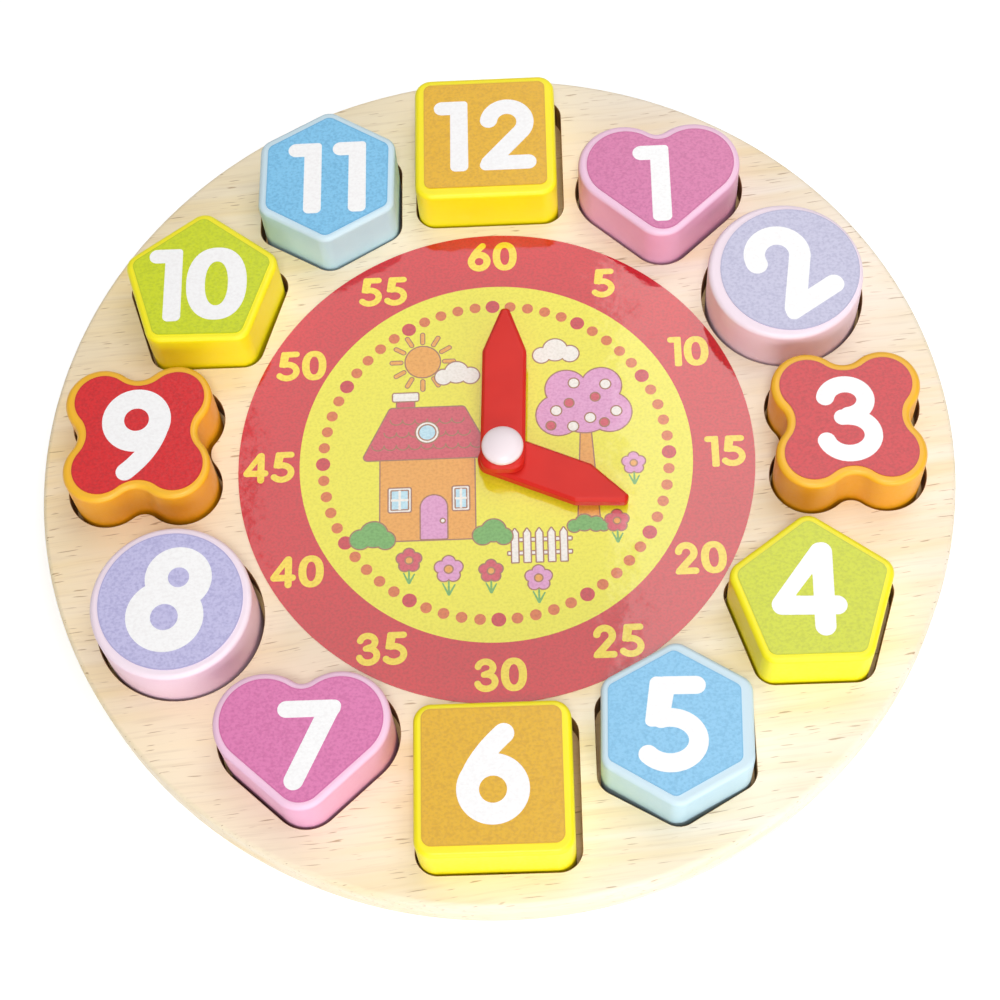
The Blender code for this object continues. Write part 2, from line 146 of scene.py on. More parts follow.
def beech(name, cream, peach, fleck, offset):
    """Steamed beech, planed, sanded and given a coat of clear satin lacquer.

    Long soft bands and fine fibres run along the grain, with the short dark flecks that mark beech. The
    fibres are drawn wider than real ones, so that they show. The wood is painted darker and warmer to the
    left, a painted shade for the weaker light there, and the offset picks the part of the pattern that shows.
    """
    made, tree, shader, whole = start(name, 0.42)
    place = add(tree, "ShaderNodeVectorRotate", {"Vector": whole, "Angle": -GRAIN_LEAN},
                rotation_type="Z_AXIS")
    across = add(tree, "ShaderNodeSeparateXYZ", {"Vector": whole}, "X")
    # Painted shade: the wood shifts towards the darker peach from right to left, where less light falls
    painted_left_shade = add(tree, "ShaderNodeMapRange", {
        "Value": across, "From Min": LEFT_SHADE_START * MM, "From Max": LEFT_SHADE_END * MM, "To Max": 0.4})
    wander_way = add(tree, "ShaderNodeMapping", {
        "Vector": place, "Scale": per_metre(*WANDER), "Location": offset})
    wander = add(tree, "ShaderNodeTexNoise", {"Vector": wander_way, "Scale": 1.0, "Detail": 1.0})
    sway = add(tree, "ShaderNodeMath", {0: wander, 1: SWAY * MM}, operation="MULTIPLY")
    sway = add(tree, "ShaderNodeCombineXYZ", {"Y": sway})
    swayed = add(tree, "ShaderNodeVectorMath", {0: place, 1: sway}, operation="ADD")
    band_way = add(tree, "ShaderNodeMapping", {
        "Vector": swayed, "Scale": per_metre(*BANDS), "Location": offset})
    bands = add(tree, "ShaderNodeTexNoise", {"Vector": band_way, "Scale": 1.0, "Detail": 3.0})
    fibre_way = add(tree, "ShaderNodeMapping", {
        "Vector": swayed, "Scale": per_metre(*FIBRES), "Location": offset})
    fibres = add(tree, "ShaderNodeTexNoise", {"Vector": fibre_way, "Scale": 1.0, "Detail": 2.0})
    fleck_way = add(tree, "ShaderNodeMapping", {
        "Vector": swayed, "Scale": per_metre(*FLECKS), "Location": offset})
    flecks = add(tree, "ShaderNodeTexNoise", {"Vector": fleck_way, "Scale": 1.0, "Detail": 0.0})
    streak = add(tree, "ShaderNodeMapRange", {
        "Value": bands, "From Min": 0.35, "From Max": 0.7, "To Max": 0.7})
    cloud = add(tree, "ShaderNodeMapRange", {"Value": wander, "From Min": 0.35, "From Max": 0.65})
    tint = add(tree, "ShaderNodeMath", {0: streak, 1: cloud, 2: painted_left_shade}, operation="MULTIPLY_ADD")
    ground = add(tree, "ShaderNodeMix", {0: tint, 6: linear(cream), 7: linear(peach)}, 2, data_type="RGBA")
    thread = add(tree, "ShaderNodeMapRange", {
        "Value": fibres, "From Min": 0.5, "From Max": 0.75, "To Max": 0.15})
    lined = add(tree, "ShaderNodeMix", {0: thread, 6: ground, 7: linear(fleck)}, 2, data_type="RGBA")
    dash = add(tree, "ShaderNodeMapRange", {
        "Value": flecks, "From Min": 0.735, "From Max": 0.80, "To Max": 0.7})
    colour = add(tree, "ShaderNodeMix", {0: dash, 6: lined, 7: linear(fleck)}, 2, data_type="RGBA")
    height = add(tree, "ShaderNodeMath", {0: 1.0, 1: thread}, operation="SUBTRACT")
    rough = add(tree, "ShaderNodeMapRange", {
        "Value": bands, "From Min": 0.3, "From Max": 0.7, "To Min": 0.38, "To Max": 0.5})
    dress(tree, shader, colour, height, 0.03, rough)
    return made


def scorched_beech():
    """The pockets' laser-cut walls: beech browned by the cut, in fine upright streaks."""
    made, tree, shader, place = start("scorched_beech", 0.7)
    up_way = add(tree, "ShaderNodeMapping", {"Vector": place, "Scale": per_metre(0.7, 0.7, 14)})
    streaks = add(tree, "ShaderNodeTexNoise", {"Vector": up_way, "Scale": 1.0, "Detail": 2.0})
    patch_way = add(tree, "ShaderNodeMapping", {"Vector": place, "Scale": per_metre(16, 16, 7)})
    patches = add(tree, "ShaderNodeTexNoise", {"Vector": patch_way, "Scale": 1.0, "Detail": 1.0})
    share = add(tree, "ShaderNodeMapRange", {"Value": patches, "From Min": 0.35, "From Max": 0.65})
    brown = add(tree, "ShaderNodeMix", {0: share, 6: linear("#B0824C"), 7: linear("#8E6234")}, 2,
                data_type="RGBA")
    dark = add(tree, "ShaderNodeMapRange", {
        "Value": streaks, "From Min": 0.35, "From Max": 0.7, "To Max": 0.7})
    colour = add(tree, "ShaderNodeMix", {0: dark, 6: brown, 7: linear("#57361A")}, 2, data_type="RGBA")
    dress(tree, shader, colour, streaks, 0.06)
    return made


def painted_beech(name, code, shade, rim, top):
    """Satin enamel sprayed on a sanded beech block: even, with a fine orange peel and a little grain showing.

    The rounded top edge is tinted paler: a painted highlight for the top light falling on it.
    """
    made, tree, shader, place = start(name, 0.34)
    peel_way = add(tree, "ShaderNodeMapping", {"Vector": place, "Scale": per_metre(0.8, 0.8, 0.8)})
    peel = add(tree, "ShaderNodeTexNoise", {"Vector": peel_way, "Scale": 1.0, "Detail": 2.0})
    grain_way = add(tree, "ShaderNodeMapping", {"Vector": place, "Scale": per_metre(7, 0.6, 0.6)})
    fibres = add(tree, "ShaderNodeTexNoise", {"Vector": grain_way, "Scale": 1.0, "Detail": 2.0})
    coat_way = add(tree, "ShaderNodeMapping", {"Vector": place, "Scale": per_metre(9, 9, 9)})
    coat = add(tree, "ShaderNodeTexNoise", {"Vector": coat_way, "Scale": 1.0, "Detail": 2.0})
    thin = add(tree, "ShaderNodeMapRange", {"Value": coat, "From Min": 0.3, "From Max": 0.7, "To Max": 0.4})
    base = add(tree, "ShaderNodeMix", {0: thin, 6: linear(code), 7: linear(shade)}, 2, data_type="RGBA")
    line = add(tree, "ShaderNodeMapRange", {
        "Value": fibres, "From Min": 0.58, "From Max": 0.8, "To Max": 0.3})
    lined = add(tree, "ShaderNodeMix", {0: line, 6: base, 7: linear(shade)}, 2, data_type="RGBA")
    # Painted highlight: from the start of the rounding up to the top, the paint turns to the paler rim tint
    level = add(tree, "ShaderNodeSeparateXYZ", {"Vector": place}, "Z")
    edge = add(tree, "ShaderNodeMapRange", {
        "Value": level, "From Min": (top - BLOCK_ROUND) * MM, "From Max": (top - BLOCK_ROUND / 3) * MM})
    colour = add(tree, "ShaderNodeMix", {0: edge, 6: lined, 7: linear(rim)}, 2, data_type="RGBA")
    height = add(tree, "ShaderNodeMath", {0: peel, 1: line}, operation="SUBTRACT")
    rough = add(tree, "ShaderNodeMapRange", {
        "Value": peel, "From Min": 0.3, "From Max": 0.7, "To Min": 0.34, "To Max": 0.46})
    dress(tree, shader, colour, height, 0.02, rough)
    return made


def printed_film(name, code, deep, roughness=0.22, sheen=0.5, relief=0.07, ripple=0.0):
    """Vinyl film printed in one ink under a clear embossed face, whose fine pebbles break up reflections.

    The pebbles are drawn coarser than real ones, so that they show. A wide ripple is how a large film lies on
    sanded wood, and sheen is how strongly the face mirrors the lamps.
    """
    made, tree, shader, place = start(name, roughness)
    shader.inputs["Specular IOR Level"].default_value = sheen
    pebble_way = add(tree, "ShaderNodeMapping", {"Vector": place, "Scale": per_metre(1.1, 0.6, 0.7)})
    pebbles = add(tree, "ShaderNodeTexNoise", {
        "Vector": pebble_way, "Scale": 1.0, "Detail": 2.0, "Roughness": 0.6})
    wave_way = add(tree, "ShaderNodeMapping", {"Vector": place, "Scale": per_metre(9, 5, 5)})
    waves = add(tree, "ShaderNodeTexNoise", {"Vector": wave_way, "Scale": 1.0, "Detail": 2.0})
    height = add(tree, "ShaderNodeMath", {0: waves, 1: ripple, 2: pebbles}, operation="MULTIPLY_ADD")
    ink_way = add(tree, "ShaderNodeMapping", {"Vector": place, "Scale": per_metre(0.7, 0.6, 0.6)})
    ink = add(tree, "ShaderNodeTexNoise", {"Vector": ink_way, "Scale": 1.0, "Detail": 1.0})
    share = add(tree, "ShaderNodeMapRange", {"Value": ink, "From Min": 0.4, "From Max": 0.7})
    colour = add(tree, "ShaderNodeMix", {0: share, 6: linear(code), 7: linear(deep)}, 2, data_type="RGBA")
    dress(tree, shader, colour, height, relief)
    return made


def moulded_abs(name, code, shade, roughness, sheen=0.5):
    """Injection-moulded ABS from a polished mould: even colour, a soft sheen and faint rub marks."""
    made, tree, shader, place = start(name, roughness)
    shader.inputs["Specular IOR Level"].default_value = sheen
    flow_way = add(tree, "ShaderNodeMapping", {"Vector": place, "Scale": per_metre(8, 8, 8)})
    flow = add(tree, "ShaderNodeTexNoise", {"Vector": flow_way, "Scale": 1.0, "Detail": 1.0})
    rub_way = add(tree, "ShaderNodeMapping", {"Vector": place, "Scale": per_metre(6, 0.2, 0.2)})
    rubs = add(tree, "ShaderNodeTexNoise", {"Vector": rub_way, "Scale": 1.0, "Detail": 1.0})
    share = add(tree, "ShaderNodeMapRange", {"Value": flow, "From Min": 0.3, "From Max": 0.7, "To Max": 0.6})
    colour = add(tree, "ShaderNodeMix", {0: share, 6: linear(code), 7: linear(shade)}, 2, data_type="RGBA")
    rough = add(tree, "ShaderNodeMapRange", {
        "Value": rubs, "From Min": 0.5, "From Max": 0.8, "To Min": roughness, "To Max": roughness + 0.15})
    dress(tree, shader, colour, rubs, 0.004, rough)
    return made


# Outlines, in millimetres

def ellipse(x, y, across, up, steps=FINE_STEPS, power=2.0, first=0.0, last=360.0):
    """Points of an ellipse or part of one, counter-clockwise. A power over 2 squares it."""
    points = []
    closed = abs(last - first) >= 360.0
    for step in range(steps if closed else steps + 1):
        turn = math.radians(first + (last - first) * step / steps)
        cosine, sine = math.cos(turn), math.sin(turn)
        points.append((
            x + across * math.copysign(abs(cosine) ** (2 / power), cosine),
            y + up * math.copysign(abs(sine) ** (2 / power), sine),
        ))
    return points


def belt(pegs, grow=0.0, step_size=ARC_STEP):
    """The counter-clockwise outline of a belt round pegs (x, y, radius), moved outwards by grow.

    A peg with a negative radius stands outside the belt and bends it inwards.
    """
    if len(pegs) == 1:
        x, y, radius = pegs[0]
        return ellipse(x, y, radius + grow, radius + grow)
    headings = []
    runs = []
    for (x0, y0, r0), (x1, y1, r1) in zip(pegs, pegs[1:] + pegs[:1]):
        span = math.hypot(x1 - x0, y1 - y0)
        slant = max(-1.0, min(1.0, (r1 - r0) / span))
        headings.append(math.atan2(y1 - y0, x1 - x0) - math.asin(slant))
        runs.append(span * math.sqrt(1.0 - slant * slant))
    points = []
    for place, (x, y, radius) in enumerate(pegs):
        turn = (headings[place] - headings[place - 1]) % math.tau
        if radius < 0:
            turn -= math.tau
        steps = max(1, round(abs(turn) / step_size))
        first = 1 if runs[place - 1] < SAME_POINT else 0
        for step in range(first, steps + 1):
            heading = headings[place - 1] + turn * step / steps
            reach = radius + grow
            points.append((x + reach * math.sin(heading), y - reach * math.cos(heading)))
    return points


def polygon_pegs(sides, half_width, corner, lean=0.0):
    """Pegs of a regular polygon whose first corner points up, or leans from there."""
    reach = (half_width - corner) / math.cos(math.pi / sides)
    turns = (math.tau * side / sides + lean for side in range(sides))
    return [(-reach * math.sin(turn), reach * math.cos(turn), corner) for turn in turns]


def heart_pegs(lobe, spread, rise, notch, tip, drop):
    """Two lobes, a rounded tip below them, and a peg that rounds the notch between the lobes."""
    notch_rise = math.sqrt((lobe + notch) ** 2 - spread ** 2)
    return [(0.0, -drop, tip), (spread, rise, lobe), (0.0, rise + notch_rise, -notch), (-spread, rise, lobe)]


def clover_pegs(lobe, spread, waist):
    """Four lobes on a square's corners, with a peg outside each side that rounds the waist there."""
    side = spread + math.sqrt((lobe + waist) ** 2 - spread ** 2)
    pegs = []
    for across, up in ((1, 0), (0, 1), (-1, 0), (0, -1)):
        pegs.append(((across + up) * spread, (up - across) * spread, lobe))
        pegs.append((across * side, up * side, -waist))
    return pegs


PEGS = {
    "square": polygon_pegs(4, *SQUARE, math.pi / 4),
    "circle": [(0.0, 0.0, CIRCLE)],
    "pentagon": polygon_pegs(5, *PENTAGON),
    "hexagon": polygon_pegs(6, *HEXAGON),
    "heart": heart_pegs(HEART_LOBE, HEART_SPREAD, HEART_RISE, HEART_NOTCH, HEART_TIP, HEART_DROP),
    "clover": clover_pegs(CLOVER_LOBE, CLOVER_SPREAD, CLOVER_WAIST),
}


def placed(points, x=0.0, y=0.0, turn=0.0, size=1.0):
    """Points scaled and turned about the origin, by degrees counter-clockwise, and then moved."""
    cosine = size * math.cos(math.radians(turn))
    sine = size * math.sin(math.radians(turn))
    return [(x + px * cosine - py * sine, y + px * sine + py * cosine) for px, py in points]


def extent(points):
    """Lowest and highest corner of flat points."""
    across, up = zip(*points)
    return (min(across), min(up)), (max(across), max(up))


def flat_box(node):
    """A frame node's lowest and highest corners, in millimetres."""
    low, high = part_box(node)
    return low / MM, high / MM


def node_middle(node):
    """The middle of a node's box, seen from above."""
    low, high = flat_box(node)
    return (low.x + high.x) / 2, (low.y + high.y) / 2


def centre_in(low, high, points):
    """How far to move an outline so that its own box has the same middle as the given one."""
    (x0, y0), (x1, y1) = extent(points)
    return (low[0] + high[0] - x0 - x1) / 2, (low[1] + high[1] - y0 - y1) / 2


# Strokes and numerals

def stroke(line, width):
    """The outline of an even stroke along a line of points, with round ends."""
    half = width / 2
    left = []
    right = []
    headings = []
    for place in range(len(line)):
        x0, y0 = line[max(0, place - 1)]
        x1, y1 = line[min(len(line) - 1, place + 1)]
        headings.append(math.atan2(y1 - y0, x1 - x0))
    for (x, y), heading in zip(line, headings):
        across, up = -half * math.sin(heading), half * math.cos(heading)
        left.append((x + across, y + up))
        right.append((x - across, y - up))
    end = math.degrees(headings[-1])
    begin = math.degrees(headings[0])
    nose = ellipse(*line[-1], half, half, 12, first=end - 90, last=end + 90)[1:-1]
    tail = ellipse(*line[0], half, half, 12, first=begin + 90, last=begin + 270)[1:-1]
    return right + nose + left[::-1] + tail


def bow(first, middle, last, steps=14):
    """Points of a smooth curve from first to last that is drawn towards the middle point."""
    points = []
    for step in range(steps + 1):
        t = step / steps
        shares = ((1 - t) ** 2, 2 * t * (1 - t), t * t)
        pulls = list(zip(shares, (first, middle, last)))
        points.append(tuple(sum(share * point[axis] for share, point in pulls) for axis in (0, 1)))
    return points


def arc(x, y, across, up, first, last):
    """Points of part of an ellipse from one angle to another, in degrees, either way round."""
    return ellipse(x, y, across, up, 30, first=first, last=last)


# The numerals are one unit high, on a base line at 0, with their middle at 0. Each is a list of inked shapes
# and a list of open counters.
INK = {
    "0": ([ellipse(0, 0.5, 0.368, 0.5, power=2.25)], [ellipse(0, 0.5, 0.140, 0.305, power=2.2)]),
    "1": ([belt([(0.035, 0.065, 0.065), (0.120, 0.065, 0.065), (0.140, 0.955, 0.045), (0.030, 0.945, 0.055)]),
           stroke([(-0.128, 0.905), (0.090, 0.905)], 0.190)], []),
    "2": ([stroke(arc(-0.005, 0.676, 0.221, 0.221, 172, -38), 0.208),
           stroke([(0.169, 0.540), (-0.200, 0.130)], 0.208),
           belt([(-0.265, 0.072, 0.072), (0.243, 0.097, 0.097), (0.243, 0.103, 0.097),
                 (-0.240, 0.120, 0.080)])], []),
    "3": ([stroke(arc(-0.020, 0.722, 0.213, 0.183, 168, -84), 0.191),
           stroke(arc(-0.007, 0.309, 0.252, 0.213, 84, -164), 0.191),
           stroke([(-0.066, 0.518), (0.040, 0.518)], 0.178)], []),
    "4": ([stroke([(0.148, 0.893), (0.148, 0.103)], 0.206),
           stroke([(0.128, 0.893), (-0.272, 0.330)], 0.200),
           stroke([(-0.270, 0.322), (0.272, 0.322)], 0.200)],
          [belt([(0.040, 0.430, 0.006), (0.040, 0.645, 0.006), (-0.122, 0.430, 0.006)])]),
    "5": ([stroke([(-0.062, 0.905), (0.255, 0.905)], 0.190),
           belt([(-0.205, 0.535, 0.060), (-0.090, 0.535, 0.060), (-0.010, 0.930, 0.060),
                 (-0.140, 0.930, 0.070)]),
           stroke(arc(-0.022, 0.333, 0.282, 0.235, 108, -142), 0.195)], []),
    "6": ([ellipse(0, 0.350, 0.350, 0.350),
           stroke(bow((0.110, 0.895), (-0.160, 0.650), (-0.235, 0.400)), 0.206)],
          [ellipse(0, 0.345, 0.133, 0.133)]),
    "7": ([stroke([(-0.260, 0.905), (0.235, 0.905)], 0.190),
           belt([(0.262, 0.926, 0.072), (0.150, 0.890, 0.060), (-0.164, 0.106, 0.106)])], []),
    "8": ([ellipse(0, 0.335, 0.345, 0.335), ellipse(0, 0.705, 0.298, 0.295)],
          [ellipse(0, 0.325, 0.122, 0.122), ellipse(0, 0.713, 0.094, 0.094)]),
    "9": ([ellipse(0, 0.656, 0.344, 0.344),
           stroke(bow((0.243, 0.630), (0.200, 0.330), (-0.075, 0.094)), 0.188)],
          [ellipse(0, 0.664, 0.124, 0.124)]),
}


def number(text, x, y, height, lean, gap_share, ink, ground):
    """Shapes of a number whose middle is at (x, y). It leans clockwise by some degrees."""
    glyphs = []
    across = 0.0
    for figure in text:
        inked, counters = INK[figure]
        low, high = extent([point for shape in inked for point in shape])
        start_x = across - low[0]
        glyphs += [([(start_x + px, py - 0.5) for px, py in shape], ink) for shape in inked]
        glyphs += [([(start_x + px, py - 0.5) for px, py in shape], ground) for shape in counters]
        across = start_x + high[0] + gap_share
    middle = (across - gap_share) / 2
    centred = [([(px - middle, py) for px, py in shape], tag) for shape, tag in glyphs]
    return [(placed(shape, x, y, -lean, height), tag) for shape, tag in centred]


# Pieces

def flat_map(shapes):
    """Cut the plane along the shapes' outlines. Each face takes the tag of the last shape that covers it.

    A shape is its points and its tag, and one with no tag is a hole. Returns points, faces and tags.
    """
    points = []
    outlines = []
    for outline, _ in shapes:
        first = len(points)
        points.extend(Vector(point) for point in outline)
        outlines.append(list(range(first, len(points))))
    made = delaunay_2d_cdt(points, [], outlines, 1, DRAWN_POINT)
    kept = []
    tags = []
    for face, covers in zip(made[2], made[5]):
        tag = shapes[max(covers)][1] if covers else None
        if tag is not None:
            kept.append(face)
            tags.append(tag)
    return [tuple(point) for point in made[0]], kept, tags


def make_piece(name, points, faces, tags, materials, body, slot, nodes=()):
    """A mesh in metres from points in millimetres. It rides on a body and stands for the named nodes."""
    mesh = bmesh.new()
    verts = [mesh.verts.new(Vector(point) * MM) for point in points]
    used = list(dict.fromkeys(tags))
    for face, tag in zip(faces, tags):
        made = mesh.faces.new([verts[place] for place in face])
        made.material_index = used.index(tag)
    bmesh.ops.remove_doubles(mesh, verts=mesh.verts, dist=SAME_POINT * MM)
    loose = [vert for vert in mesh.verts if not vert.link_faces]
    bmesh.ops.delete(mesh, geom=loose, context="VERTS")
    bmesh.ops.recalc_face_normals(mesh, faces=mesh.faces)
    data = bpy.data.meshes.new(name)
    mesh.to_mesh(data)
    mesh.free()
    data.shade_smooth()
    data.set_sharp_from_angle(angle=SHARP_ANGLE)
    for tag in used:
        data.materials.append(materials[tag])
    piece = bpy.data.objects.new(name, data)
    bpy.context.scene.collection.objects.link(piece)
    piece.modifiers.new("even shading", "WEIGHTED_NORMAL").keep_sharp = True
    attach(piece, body)
    if nodes:
        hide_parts(*nodes)
    return piece


def film_shell(shapes, bottom, top, back):
    """A thin sheet with printed shapes on its face: points, faces and tags of a closed shell."""
    flat, faces, tags = flat_map(shapes)
    count = len(flat)
    points = [(x, y, top) for x, y in flat] + [(x, y, bottom) for x, y in flat]
    sides = dict.fromkeys(side for face in faces for side in zip(face, face[1:] + face[:1]))
    walls = [(b, a, a + count, b + count) for a, b in sides if (b, a) not in sides]
    backs = [[place + count for place in reversed(face)] for face in faces]
    return points, faces + walls + backs, tags + [back] * (len(walls) + len(backs))


def skin(points, faces, tags, rings, tag):
    """Add the wall of rings (outline, height, tag) of equal length, one above the other."""
    first = len(points)
    size = len(rings[0][0])
    for outline, height in rings:
        points.extend((x, y, height) for x, y in outline)
    for level in range(len(rings) - 1):
        low = first + level * size
        for place in range(size):
            after = (place + 1) % size
            faces.append((low + place, low + after, low + size + after, low + size + place))
            tags.append(tag)


def cap(points, faces, tags, outline, holes, height, tag):
    """Add a flat end between an outline and its holes."""
    flat, made, _ = flat_map([(outline, tag)] + [(hole, None) for hole in holes])
    first = len(points)
    points.extend((x, y, height) for x, y in flat)
    faces.extend([first + place for place in face] for face in made)
    tags.extend([tag] * len(made))


def rounded(height, radius, steps, side):
    """Heights and inward growths of a rounded edge, at the top for side 1 and at the foot for side -1."""
    levels = []
    for step in range(steps + 1):
        turn = math.pi / 2 * step / steps
        levels.append((height - side * radius * (1 - math.sin(turn)), -radius * (1 - math.cos(turn))))
    return levels if side > 0 else levels[::-1]


def solid(rings, tag, holes=(), hole_tag=None, top_tag=None):
    """A closed solid: the outer wall's rings from foot to top, walls of holes, and the two flat ends.

    The flat top can have a tag of its own.
    """
    points, faces, tags = [], [], []
    skin(points, faces, tags, rings, tag)
    for hole in holes:
        skin(points, faces, tags, hole, hole_tag)
    for end, end_tag in ((0, tag), (-1, top_tag or tag)):
        cap(points, faces, tags, rings[end][0], [hole[end][0] for hole in holes], rings[end][1], end_tag)
    return points, faces, tags


# Blocks: turns and leans are in degrees, and across and up are the number's offset from the film's middle

Block = namedtuple("Block", "hour outline turn paint shade film deep across up height lean")
BLOCKS = (
    Block(1, "heart", 0.0, "#F0B2D6", "#E6A0C4", "#D874A8", "#C86498", -2.3, -1.2, 22.0, 0.0),
    Block(2, "circle", 0.0, "#F8DCEC", "#F0CCE0", "#C4C2DC", "#B2B0CE", -0.3, 0.35, 25.0, -33.5),
    Block(3, "clover", 0.0, "#EEA812", "#E48E10", "#D0242F", "#BA1A26", -0.1, -0.3, 22.3, 0.0),
    Block(4, "pentagon", 0.0, "#FFF40A", "#FBEA00", "#CED60A", "#BEC604", -1.1, -0.5, 22.9, 1.5),
    Block(5, "hexagon", -2.0, "#C0E0EE", "#AED4E6", "#86C5EA", "#74B5DC", -0.5, -0.4, 22.3, 1.0),
    Block(6, "square", 0.0, "#FFF20A", "#FBE800", "#E4B000", "#D4A000", 0.15, 0.3, 23.2, 0.0),
    Block(7, "heart", 0.0, "#F0B2D6", "#E6A0C4", "#DE78B0", "#CE68A0", 1.8, -1.35, 20.8, 0.0),
    Block(8, "circle", 0.0, "#F3D4E7", "#ECC6DC", "#C4C0E6", "#AFABD6", 0.1, 0.4, 26.2, 17.0),
    Block(9, "clover", 1.0, "#F6AC0E", "#EE940C", "#DB161E", "#C6101A", -0.6, -0.6, 24.0, 1.0),
    Block(10, "pentagon", -1.0, "#FFF40A", "#FFEC00", "#D0DC04", "#BECC00", -0.7, -2.3, 20.3, 0.0),
    Block(11, "hexagon", -1.0, "#C0E4F4", "#AED8EC", "#7EC6EE", "#6AB2DC", -0.1, -0.6, 20.6, 0.0),
    Block(12, "square", 0.0, "#FFF20A", "#FFEA00", "#EAB400", "#DAA400", 0.0, -0.3, 20.9, 0.0),
)
# Paler tints for the blocks' rounded top edges, a painted highlight where the top light falls
PAINTED_RIM_HIGHLIGHTS = {"square": "#FCEC10", "heart": "#F2C8E0", "circle": "#F5E2ED", "pentagon": "#F9EC16",
             "clover": "#F3B624", "hexagon": "#CCE2EC"}
LABEL_GAP_SHARES = {10: 0.055, 11: 0.135, 12: 0.140}


def block_node(block):
    """The frame's name for a block."""
    return f"block_{block.hour:02d}_{block.outline}"


def block_pieces(block, white):
    """One painted block and the film on its top."""
    node = block_node(block)
    label = f"label_{block.hour:02d}"
    body = f"number_{block.hour:02d}"
    low, high = flat_box(node)
    pegs = PEGS[block.outline]
    x, y = centre_in(low, high, placed(belt(pegs), turn=block.turn))
    levels = rounded(low.z, BLOCK_FOOT, 3, -1) + rounded(high.z, BLOCK_ROUND, 6, 1)
    rings = [(placed(belt(pegs, grow), x, y, block.turn), height) for height, grow in levels]
    paint = painted_beech(f"painted_beech_{block.hour}", block.paint, block.shade,
                          PAINTED_RIM_HIGHLIGHTS[block.outline], high.z)
    make_piece(f"number_block_{block.hour}", *solid(rings, "paint"), {"paint": paint}, body,
               f"paint_{block.outline}", [node])
    label_low, label_high = flat_box(label)
    inset = ((high.x - low.x) - (label_high.x - label_low.x)) / 2
    x, y = centre_in(label_low, label_high, placed(belt(pegs, -inset), turn=block.turn))
    outline = placed(belt(pegs, -inset), x, y, block.turn)
    shapes = [(outline, "edge"), (placed(belt(pegs, -inset - FILM_BORDER), x, y, block.turn), "film")]
    across = (label_low.x + label_high.x) / 2 + block.across
    up = (label_low.y + label_high.y) / 2 + block.up
    gap_share = LABEL_GAP_SHARES.get(block.hour, 0.0)
    shapes += number(str(block.hour), across, up, block.height, block.lean, gap_share, "white", "film")
    materials = {
        "film": printed_film(f"printed_film_{block.hour}", block.film, block.deep),
        "edge": printed_film(f"cut_film_edge_{block.hour}", block.deep, block.deep),
        "white": white,
    }
    bottom = high.z + FILM_LIFT
    top = bottom + label_high.z - label_low.z
    make_piece(f"number_film_{block.hour}", *film_shell(shapes, bottom, top, "edge"), materials, body,
               f"film_{block.outline}", [label])


# Dial

INKS = {
    "ring": ("#D21220", "#BE0E1A"),
    "disc": ("#EEE630", "#E2DA24"),
    "numeral": ("#F6DC30", "#EACD20"),
    "dot": ("#D96E28", "#CA601E"),
    "hour_dot": ("#CC2A34", "#B81E28"),
    "line": ("#A06A4A", "#94603F"),
    "orange": ("#EBA43C", "#DE942C"),
    "cream": ("#F3EEE6", "#E6E0D6"),
    "rose": ("#D34A5C", "#C43C4E"),
    "pink": ("#DF9CC8", "#D188B8"),
    "blue": ("#BFE2EE", "#A9D2E2"),
    "green": ("#6FAE52", "#5E9C44"),
}
DISC_RADIUS = 47.5
DOT_RING, DOT, HOUR_DOT = 41.8, 1.38, 1.75
MINUTE_RING, MINUTE_DROP, MINUTE_SHIFT, TOP_RISE = 55.1, 0.35, 0.15, 1.5
MINUTE_HEIGHT, MINUTE_GAP_SHARE = 8.2, 0.07
LINE = 0.17
WINDOW_FRAME, CROSS_BAR = 0.7, 0.3
SUN, SUN_RADIUS, SUN_RAYS, RAY_REACHES, RAY_WIDTH = (-17.5, 27.0), 4.4, 12, (5.4, 7.6), 1.0


def patch(pegs, ink):
    """A shape of the picture with its thin outline."""
    return [(belt(pegs, LINE, PICTURE_STEP), "line"), (belt(pegs, -LINE, PICTURE_STEP), ink)]


def cluster(circles, ink):
    """Circles (x, y, radius) that run together inside one thin outline."""
    rims = [(belt([circle], LINE), "line") for circle in circles]
    return rims + [(belt([circle], -LINE), ink) for circle in circles]


def box(x0, y0, x1, y1, corner=0.5):
    """Pegs of a rectangle with rounded corners."""
    left, right = x0 + corner, x1 - corner
    foot, head = y0 + corner, y1 - corner
    return [(left, foot, corner), (right, foot, corner), (right, head, corner), (left, head, corner)]


def window(x0, y0, x1, y1):
    """A cream frame with a cross bar round blue panes."""
    middle_x, middle_y = (x0 + x1) / 2, (y0 + y1) / 2
    left, right = x0 + WINDOW_FRAME, x1 - WINDOW_FRAME
    foot, head = y0 + WINDOW_FRAME, y1 - WINDOW_FRAME
    shapes = patch(box(x0, y0, x1, y1), "cream") + patch(box(left, foot, right, head, 0.2), "blue")
    shapes.append((belt(box(middle_x - CROSS_BAR, foot, middle_x + CROSS_BAR, head, 0.1)), "cream"))
    shapes.append((belt(box(left, middle_y - CROSS_BAR, right, middle_y + CROSS_BAR, 0.1)), "cream"))
    return shapes


